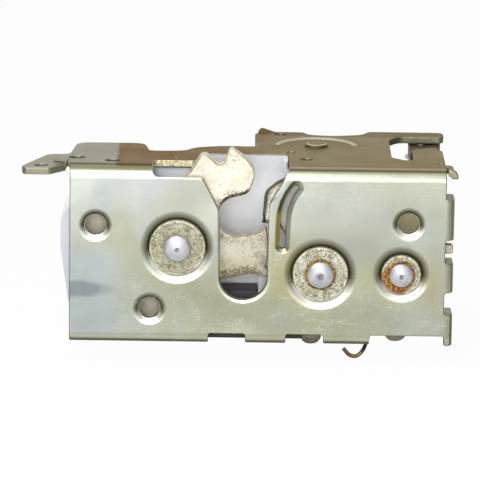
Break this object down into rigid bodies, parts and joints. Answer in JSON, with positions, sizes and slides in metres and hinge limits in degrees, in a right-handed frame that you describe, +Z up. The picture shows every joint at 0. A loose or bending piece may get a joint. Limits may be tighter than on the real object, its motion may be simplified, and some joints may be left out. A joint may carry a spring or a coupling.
{
  "type": "car door lock",
  "caption": "Car door latch: folded steel face and side plate, rotating fork and pawl behind a throat, moulded housing, studs, springs and release levers.",
  "frame": {"origin": "on the front face of the latch plate, on the throat's centreline, 5 mm below its round bottom", "axes": "+X to the right seen from the front, +Y back from the face into the door, +Z up towards the side plate"},
  "size_m": [0.1208, 0.063, 0.0598],
  "materials": {
    "chromated_steel": "yellow-green chromated zinc on pressed steel",
    "white_plastic": "natural white moulded plastic",
    "back_steel": "chromated zinc on flat steel",
    "buffer_rubber": "moulded black rubber",
    "bright_steel": "bright headed steel",
    "rough_zinc": "rough zinc with rust at the bore",
    "turned_steel": "plain turned steel",
    "spring_wire": "drawn spring wire",
    "fork_zinc": "cream zinc on thick stamped steel",
    "black_plastic": "black moulded skin",
    "dark_lever": "black coated steel",
    "clip_plastic": "moulded green plastic"
  },
  "bodies": {
    "latch_body": {"latch_plate": "chromated_steel", "housing": "white_plastic", "rear_plate": "back_steel", "buffer_pad": "buffer_rubber", "fork_stud": "bright_steel", "fork_washer": "rough_zinc", "pawl_stud": "bright_steel", "pawl_washer": "rough_zinc", "lock_stud": "bright_steel", "lock_washer": "rough_zinc", "lock_spacer": "turned_steel", "release_rivet": "turned_steel", "inside_rivet": "turned_steel", "fork_spring": "spring_wire", "pawl_spring": "spring_wire", "lock_spring": "spring_wire", "release_spring": "spring_wire", "spring_post": "turned_steel"},
    "fork_body": {"fork": "fork_zinc"},
    "pawl_body": {"pawl": "fork_zinc", "pawl_overmould": "black_plastic", "pawl_pin": "turned_steel"},
    "release_body": {"release_lever": "back_steel", "release_rod_clip": "clip_plastic"},
    "inside_body": {"inside_lever": "dark_lever", "inside_rod_clip": "clip_plastic"},
    "lock_body": {"lock_lever": "fork_zinc"}
  },
  "joints": [
    {"name": "fork_turn", "type": "hinge", "parent": "latch_body", "child": "fork_body", "pos_m": [-0.0186, 0.0058, 0.0197], "axis": [0, 1, 0], "range_deg": [-27, 8]},
    {"name": "release_turn", "type": "hinge", "parent": "latch_body", "child": "release_body", "pos_m": [0.0201, 0.0316, 0.039], "axis": [0, 0, -1], "range_deg": [0, 15], "stiffness_Nm_per_rad": 0.2, "springref_deg": -11.46},
    {"name": "pawl_turn", "type": "hinge", "parent": "latch_body", "child": "pawl_body", "pos_m": [0.0213, 0.0058, 0.0127], "axis": [0, 1, 0], "range_deg": [0, 12]},
    {"name": "inside_turn", "type": "hinge", "parent": "latch_body", "child": "inside_body", "pos_m": [0.0505, 0.0525, 0.039], "axis": [0, 0, 1], "range_deg": [0, 25]},
    {"name": "lock_turn", "type": "hinge", "parent": "latch_body", "child": "lock_body", "pos_m": [0.0438, 0.0048, 0.0129], "axis": [0, 1, 0], "range_deg": [-5, 9]}
  ],
  "couplings": [
    {"joint": "pawl_turn", "follows": "release_turn", "ratio": 0.8}
  ]
}
